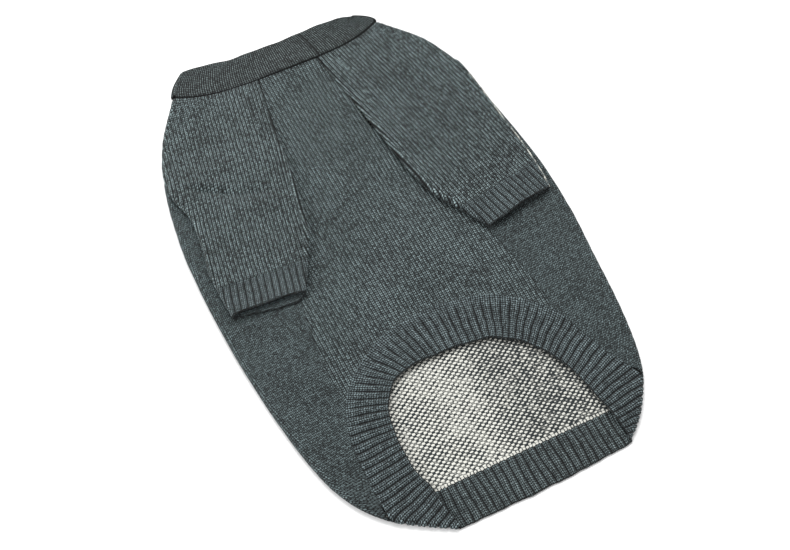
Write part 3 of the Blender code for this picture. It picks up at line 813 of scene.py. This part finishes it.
def collar(finish):
    """A closed ring but for its join: the upper layer, both folds and the lower layer. Its free
    edge is a fold, so the cloth is double and the rim is full and round.
    """
    rows, fold_columns, left_columns, right_columns, under_columns = 24, 20, 400, 190, 560
    rise = np.linspace(0, 1, rows)[:, None]
    radius = (COLLAR_HEIGHT - COLLAR_CLOTH) / 2
    middle = COLLAR_HEIGHT / 2
    pairs = zip(COLLAR_FOOT, COLLAR_NARROWING)
    halves = [foot - narrowing * rise**COLLAR_BOW for foot, narrowing in pairs]
    columns = []

    def layer(shares, upper):
        for share in shares:
            number = 0 if share < 0 else 1
            x = share * (halves[number] - COLLAR_CLOTH / 2 - radius)
            foot = collar_foot(share * (COLLAR_FOOT[number] - COLLAR_CLOTH), upper)
            station = foot + rise * (smooth(share, COLLAR_EDGE) - foot)
            columns.append(place(x, station, middle + radius * (1 if upper else -1))[:, 0])

    def fold(side, angles):
        half = halves[0 if side < 0 else 1]
        for angle in angles:
            x = half - COLLAR_CLOTH / 2 - radius + radius * np.cos(angle)
            station = FOOT_FOLD + rise * (smooth(side, COLLAR_EDGE) - FOOT_FOLD)
            columns.append(place(side * x, station, middle + radius * np.sin(angle))[:, 0])

    join = COLLAR_JOIN / COLLAR_FOOT[1]
    turn = np.radians(np.linspace(80, -80, fold_columns))
    layer(np.linspace(join, -1, left_columns), True)
    fold(-1, turn)
    layer(np.linspace(-1, 1, under_columns), False)
    fold(1, turn[::-1])
    layer(np.linspace(1, join, right_columns), True)
    mid = np.stack(columns, axis=1)
    upper = np.clip((mid[..., 2] - middle) / radius, 0, 1)
    mid[..., 2] += upper * TOP_SWELL * ripple(mid[..., 0], mid[..., 1], 9.0)
    mid[..., 1] += 0.0007 * rise * ripple(3.5 * mid[..., 0], 0, 4.0)
    ribs = arc(mid, 1)[[0]] / COLLAR_RIB + 0.10 * ripple(4 * mid[..., 0], 3 * mid[..., 1], 8.0)
    knit = stacked(ribs / 2, arc(mid, 0) / COURSE)
    relief = furrow(ribs, COLLAR_RIB_DEPTH)
    return shell(
        "collar_knit", mid, knit, [finish], relief, COLLAR_RIB_DEPTH,
        cloth=COLLAR_CLOTH, facing=-1, step=3,
    )


def belly_band(finish):
    """A fan of ribs. Each runs straight out from the free edge, and near the tail corners goes
    round the side fold to a short lip on the underside.
    """
    count, to_knee, past_knee = 880, 22, 24
    free, way, length = band_ribs(count)
    side = np.where(free[:, 0] < 0, -1, 1)
    outward = np.abs(way[:, 0]).clip(LEAST_OUTWARD)
    to_edge = length.copy()
    for _ in range(TRIES):
        station = free[:, 1] + way[:, 1] * to_edge
        out = half_width(side, station)
        to_edge = 0.5 * to_edge + 0.5 * (out - np.abs(free[:, 0])) / outward
    grow = slope(side, station)
    square = (outward - grow * way[:, 1]) / np.hypot(1, grow)
    share = np.arange(count) / (count - 1) * (BAND_RIBS - 1)
    ends = np.minimum(share, share[::-1]) / CORNER_RIBS
    lying = (CLOTH + LYING) / 2
    radius = lying + (FOLD - lying) * np.clip(ends, 0, 1)
    start = to_edge - (CLOTH / 2 + radius) / square
    knee = np.minimum(start, KNEE_SHARE * length)
    columns, reach = [], []
    shares = np.concatenate([np.linspace(0, 1, to_knee), np.linspace(1, 2, past_knee)[1:]])
    for share in shares:
        run = np.where(share < 1, share * knee, knee + (share - 1) * (length - knee))
        angle = np.clip((run - start) * square / radius, 0, np.pi)
        past = np.clip(run - start - np.pi * radius / square, 0, None)
        distance = np.minimum(run, start) + radius * np.sin(angle) / square - past
        point = free + way * distance[:, None]
        columns.append(place(point[:, 0], point[:, 1], GROUND + radius * (1 + np.cos(angle))))
        reach.append(run)
    mid = settle(np.stack(columns, axis=1))
    reach = np.stack(reach, axis=1)
    middle = free + way * (0.6 * length)[:, None]
    repeats = arc(middle[:, None], 0) / BAND_RIB
    repeats = repeats + 0.13 * ripple(3 * mid[..., 0], 3 * mid[..., 1], 2.0)
    waver = HEM_WAVER * ripple(7 * free[:, 0], 5 * free[:, 1], 1.0)
    mid[..., :2] += way[:, None] * waver[:, None, None] * (1 - ramp(reach, 0.006))[..., None]
    knit = stacked(repeats * 2, reach / COURSE)
    uneven = 0.0022 * ripple(9 * free[:, 0], 9 * free[:, 1], 5.0)[:, None]
    grown = ramp(length[:, None] - reach - 0.001 + uneven, 1.6 * RIB_RAMP)
    grown = np.where((free[:, 1] > ARCH_FOOT)[:, None], grown, 1)
    relief = ribbing(repeats) * grown + furrow(repeats * 2) * (1 - grown)
    flush = ramp(length[:, None] - reach, FLUSH)
    return shell(
        "band_knit", mid, knit, [finish], relief, RIB_DEPTH,
        facing=-1, step=4, edges="tbl", flush=flush,
    )


def tail_band(finish):
    """The straight rib on the floor, between the lips of the belly band."""
    rows, columns = 30, 330
    rise = np.linspace(0, 1, rows)[:, None]
    share = np.linspace(0, 1, columns)
    hem = smooth(TAIL_HEM[0][0] + share * (TAIL_HEM[-1][0] - TAIL_HEM[0][0]), TAIL_HEM)[:, 0]
    station = hem + rise * (TAIL_SEAM + OVERLAP - hem)
    left, right = np.moveaxis(smooth(station, TAIL_ENDS), -1, 0)
    x = -left + share * (left + right)
    repeats = x / TAIL_RIB + 0.16 * ripple(4 * x, 3 * station, 3.0)
    station = station + (1 - rise) * HEM_WAVER * ripple(7 * x, 0, 5.0)
    knit = stacked(repeats * 2, station / COURSE)
    relief = ribbing(repeats)
    mid = place(x, station, GROUND)
    return shell("tail_knit", mid, knit, [finish], relief, RIB_DEPTH, inner=relief)


# Finishes
GAP_SHADE, TOP_HIGHLIGHT = 0.03, 4.3  # painted shade between legs, painted highlight on yarn tops
UNDYED = (0.62, 0.62, 0.56)


class Field:
    """A value that varies over a surface. Arithmetic on it adds the nodes that work it out."""

    def __init__(self, graph, socket):
        self.graph, self.socket = graph, socket

    def math(self, operation, *others):
        return self.graph.add("ShaderNodeMath", {"operation": operation}, [self, *others])

    __add__ = __radd__ = partialmethod(math, "ADD")
    __mul__ = __rmul__ = partialmethod(math, "MULTIPLY")
    __sub__ = partialmethod(math, "SUBTRACT")
    floor = partialmethod(math, "FLOOR")
    part = partialmethod(math, "FRACT")
    size = partialmethod(math, "ABSOLUTE")
    root = partialmethod(math, "SQRT")
    least = partialmethod(math, "MINIMUM")
    most = partialmethod(math, "MAXIMUM")

    def __rsub__(self, other):
        return (self * -1) + other

    def between(self, low, high):
        """0 below low, 1 above high, and an eased step from one to the other."""
        inputs = {"Value": self, "From Min": low, "From Max": high}
        return self.graph.add("ShaderNodeMapRange", {"interpolation_type": "SMOOTHSTEP"}, inputs)


class Finish:
    """A material, and the methods that add nodes to it."""

    def __init__(self, name, roughness=0.92, sheen=0.06):
        self.material = bpy.data.materials.new(name)
        self.material.use_nodes = True
        self.tree = self.material.node_tree
        self.shader = self.tree.nodes["Principled BSDF"]
        sockets = ("Roughness", "Specular IOR Level", "Sheen Weight", "Sheen Roughness")
        for socket, value in zip(sockets, (roughness, 0.2, sheen, 0.6)):
            self.shader.inputs[socket].default_value = value

    def add(self, kind, settings=None, inputs=None, output=0):
        """A node: its settings first, then the values or links of its sockets."""
        node = self.tree.nodes.new(kind)
        for key, value in (settings or {}).items():
            setattr(node, key, value)
        pairs = inputs.items() if isinstance(inputs, dict) else enumerate(inputs or [])
        for key, value in pairs:
            if isinstance(value, Field):
                self.tree.links.new(value.socket, node.inputs[key])
            else:
                node.inputs[key].default_value = value
        return Field(self, node.outputs[output])

    def feed(self, socket, value):
        self.tree.links.new(value.socket, self.shader.inputs[socket])

    def blend(self, amount, first, second):
        """Mixes two colours, each a Field or a linear colour."""
        colours = [c if isinstance(c, Field) else (*c, 1) for c in (first, second)]
        inputs = {0: amount, 6: colours[0], 7: colours[1]}
        return self.add("ShaderNodeMix", {"data_type": "RGBA"}, inputs, 2)

    def knit(self):
        """Wale and course numbers from the piece's own map."""
        found = self.add("ShaderNodeUVMap", {"uv_map": "knit"})
        split = self.add("ShaderNodeSeparateXYZ", None, [found])
        return split, Field(self, split.socket.node.outputs[1])

    def attribute(self, name):
        return self.add("ShaderNodeAttribute", {"attribute_name": name}, None, "Fac")

    def noise(self, u, v, scale, detail=2):
        """Soft noise between 0 and 1 over the knit."""
        at = self.add("ShaderNodeCombineXYZ", None, [u, v])
        inputs = {"Vector": at, "Scale": scale, "Detail": detail}
        return self.add("ShaderNodeTexNoise", {"noise_dimensions": "2D"}, inputs)

    def done(self, shade, tone, depth, height):
        """The material, with its shade scaled by a tone and a bump of the given height."""
        inputs = {0: shade, "Scale": tone}
        self.feed("Base Color", self.add("ShaderNodeVectorMath", {"operation": "SCALE"}, inputs))
        inputs = {"Strength": 1.0, "Distance": depth, "Height": height}
        self.feed("Normal", self.add("ShaderNodeBump", None, inputs))
        return self.material

    def chance(self, u, v):
        """One even random value per whole cell."""
        at = self.add("ShaderNodeCombineXYZ", None, [u.floor(), v.floor()])
        return self.add("ShaderNodeTexWhiteNoise", {"noise_dimensions": "2D"}, {"Vector": at})


def stitches(wale, course, lean):
    """Height of stockinette between 0 and 1, and the row number of each leg.

    A stitch is two legs that lean away from the middle of the wale. A leg's height is the root
    of a parabola across the yarn times one along the leg.
    """
    off = ((wale.part() - 0.5) * 2).size()
    turned = course - off * lean
    across = turned.part() * 2 - 1
    along_leg = off * 2 - 1
    height = ((1 - across * across) * (1 - along_leg * along_leg)).root()
    return height, turned


def knit_finish(
    name, colour, furrows, grain=1.0, lean=0.55, depth=0.0006, wander=0.3, rim=0.0012
):
    """Dyed yarn in stitches, with painted light: near black painted shade between the legs and,
    by the share furrows, in the furrows, and within rim of the rounded edges; a painted highlight
    on top of the yarn. Each leg is lighter or darker than the next by grain, with slow changes of
    tone and fine fibres. Where the yarn attribute is 1, a cream end shows.
    """
    finish = Finish(name)
    wale, course = finish.knit()
    sway = finish.noise(wale, course, 0.45, 2)
    wale = wale + (sway - 0.5) * wander
    course = course + (finish.noise(course, wale, 0.45, 2) - 0.5) * wander * 2
    height, row = stitches(wale, course, lean)
    leg = finish.chance(wale * 2, row)
    sunk = finish.attribute("sunk").between(0.10, 0.95)
    border = finish.attribute("border")
    fibres = finish.noise(wale, course, 3.0, 3)
    slow = finish.noise(wale, course, 0.05, 2)
    tone = (leg - 0.5) * grain + (fibres - 0.5) * 2.8 + (slow - 0.5) * 0.55 + 1
    # Painted shade between the legs, in the furrows and near the rounded edges; painted highlight
    # on top of the yarn.
    lit_share = height.between(0.42, 0.95) * (1 - sunk * furrows)
    lit_share = lit_share * (border.between(0.0, rim) * 0.7 + 0.3)
    dark, light = (tuple(c * level for c in colour) for level in (GAP_SHADE, TOP_HIGHLIGHT))
    shade = finish.blend(lit_share, dark, light)
    shade = finish.blend(finish.attribute("yarn"), shade, UNDYED)
    return finish.done(shade, tone.most(0.12), depth, height + fibres * 0.3)


def backing_finish(name, cream, charcoal, depth=0.0005):
    """The wrong side of the jacquard: cream purl bumps on every second cell of a chequerboard,
    each a short slanting dash of its own size, with the dark yarn between them, soft zones where
    the dark yarn stands out more, and a row of full cream bumps along the tail seam.
    """
    finish = Finish(name)
    wale, course = finish.knit()
    sway = finish.noise(wale, course, 0.6, 2) - 0.5
    wale = wale + sway * 0.35
    course = course + (finish.noise(course, wale, 0.6, 2) - 0.5) * 0.4
    cell = wale.floor() + course.floor()
    turn = ((cell * 0.5).part() * 2).size()
    leg = finish.chance(wale, course)
    across = wale.part() * 2 - 1
    along_it = course.part() * 2 - 1
    tilted = along_it - across * 0.12
    round_off = across * across * 0.55 + tilted * tilted * 0.8
    dome = (1 - round_off * 0.6).most(0)
    zone = finish.noise(wale, course, 0.05, 1).between(0.42, 0.60)
    right = wale.between(-1.0, 12.0)
    zone = zone * (1 - right)
    fibres = finish.noise(wale, course, 6.0, 3)
    seam_row = 1 - finish.attribute("border").between(0.0017, 0.0022)
    speck = finish.noise(wale, course, 1.7, 2) - 0.5
    size = 0.92 + zone * 0.16 - right * 0.28 + (leg - 0.5) * 0.5 + speck * 1.1
    dash = turn * (size - round_off).between(-0.10, 0.40) * (1 - seam_row)
    between_dashes = (1 - turn) * (zone * 0.20 + (leg - 0.55) * 0.5 + speck * 1.2).most(0)
    looped = seam_row * (0.62 + (leg - 0.5) * 0.4 - across * across).between(-0.1, 0.3)
    show = (dash + between_dashes * dome + looped).least(1).most(0)
    shade = finish.blend(show, charcoal, cream)
    # Painted shade and highlight: a cell is lighter where its dome stands high and darker where
    # it falls off between bumps.
    tone = (fibres - 0.5) * 0.7 + dome.between(0.0, 0.6) * 0.35 + 0.72 - right * 0.10
    return finish.done(shade, tone, depth, dome + turn * 0.4)


# Camera, floor and light
AZIMUTH, ELEVATION = -26.7, 58.0
AIM = (-0.0051, 0.17815 - LENGTH / 2, 0)
CAMERA_DISTANCE = 1.0
FOCAL_LENGTH = 69.0
FLOOR_HALF = 4.0
FLOOR_DROP = 0.0002
# Columns: name, place, size, watts.
LAMPS = (
    ("overhead", (0.25, 0.9, 1.9), 1.3, 38.0),
    ("side", (-1.6, 0.0, 1.0), 0.9, 17.0),
)
SKY_STRENGTH = 0.74


def studio():
    azimuth, elevation = np.radians(AZIMUTH), np.radians(ELEVATION)
    level = np.cos(elevation)
    back = Vector((np.sin(azimuth) * level, -np.cos(azimuth) * level, np.sin(elevation)))
    lens = bpy.data.cameras.new("camera")
    lens.lens = FOCAL_LENGTH
    lens.sensor_width = 36
    where = Vector(AIM) + back * CAMERA_DISTANCE
    bpy.context.scene.camera = put("camera", lens, where, -back)

    mesh = bpy.data.meshes.new("floor")
    corners = [(-1, -1), (1, -1), (1, 1), (-1, 1)]
    points = [(x * FLOOR_HALF, y * FLOOR_HALF, -FLOOR_DROP) for x, y in corners]
    mesh.from_pydata(points, [], [(0, 1, 2, 3)])
    paper = Finish("white_floor", roughness=0.8, sheen=0.0)
    paper.shader.inputs["Base Color"].default_value = (0.92, 0.92, 0.92, 1)
    mesh.materials.append(paper.material)
    put("floor", mesh)

    for name, where, size, power in LAMPS:
        lamp = bpy.data.lights.new(name, "AREA")
        lamp.size, lamp.energy = size, power
        put(name, lamp, where, -Vector(where))
    world = bpy.data.worlds.new("soft")
    world.use_nodes = True
    sky = world.node_tree.nodes["Background"]
    sky.inputs["Color"].default_value = (1, 1, 1, 1)
    sky.inputs["Strength"].default_value = SKY_STRENGTH
    bpy.context.scene.world = world
    bpy.context.scene.view_settings.view_transform = "Standard"


# The garment
def worn(piece, node):
    """Attaches a piece to the root body, which it rides on, and hides the part that it stands
    for.
    """
    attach(piece, "root")
    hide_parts(node)


plain = knit_finish("slate_stockinette", (0.0365, 0.0475, 0.0490), furrows=0.8, grain=1.3)
sleeved = knit_finish("slate_sleeve_knit", (0.0405, 0.0525, 0.0540), furrows=0.97, grain=1.5)
face = knit_finish(
    "slate_jacquard_face", (0.0200, 0.0265, 0.0275), furrows=0.4, grain=1.2, wander=0.4
)
rib = knit_finish("slate_rib", (0.0310, 0.0400, 0.0420), furrows=0.88, grain=0.9)
# The collar's painted shade along its rounded edges reaches twice as far, by rim.
neck_rib = knit_finish(
    "slate_neck_rib", (0.0225, 0.0280, 0.0282), furrows=0.97, lean=0.3, wander=0.12, rim=0.0024
)
hem_rib = knit_finish("slate_hem_rib", (0.0285, 0.0365, 0.0375), furrows=0.88, grain=0.9)
backing = backing_finish("birdseye_backing", (0.57, 0.57, 0.52), (0.018, 0.023, 0.025))

studio()
worn(back_panel(face, backing), "back_panel")
worn(tail_band(hem_rib), "tail_band")
worn(belly_panel(plain), "belly_panel")
worn(belly_band(rib), "belly_band")
left = sleeve("sleeve_left_knit", SLEEVE_LEFT, LEFT_SLEEVE_CREASES, sleeved)
right = sleeve("sleeve_right_knit", SLEEVE_RIGHT, RIGHT_SLEEVE_CREASES, sleeved, line=0.8)
worn(left, "sleeve_left")
worn(right, "sleeve_right")
left = cuff("cuff_left_knit", (SLEEVE_LEFT[-1], *CUFF_LEFT), rib, lip=0.0040, lifted=0.0010)
right = cuff(
    "cuff_right_knit", (SLEEVE_RIGHT[-1], *CUFF_RIGHT), rib, lip=-0.0015, lifted=0.0016, line=0.8
)
worn(left, "cuff_left")
worn(right, "cuff_right")
worn(collar(neck_rib), "collar")
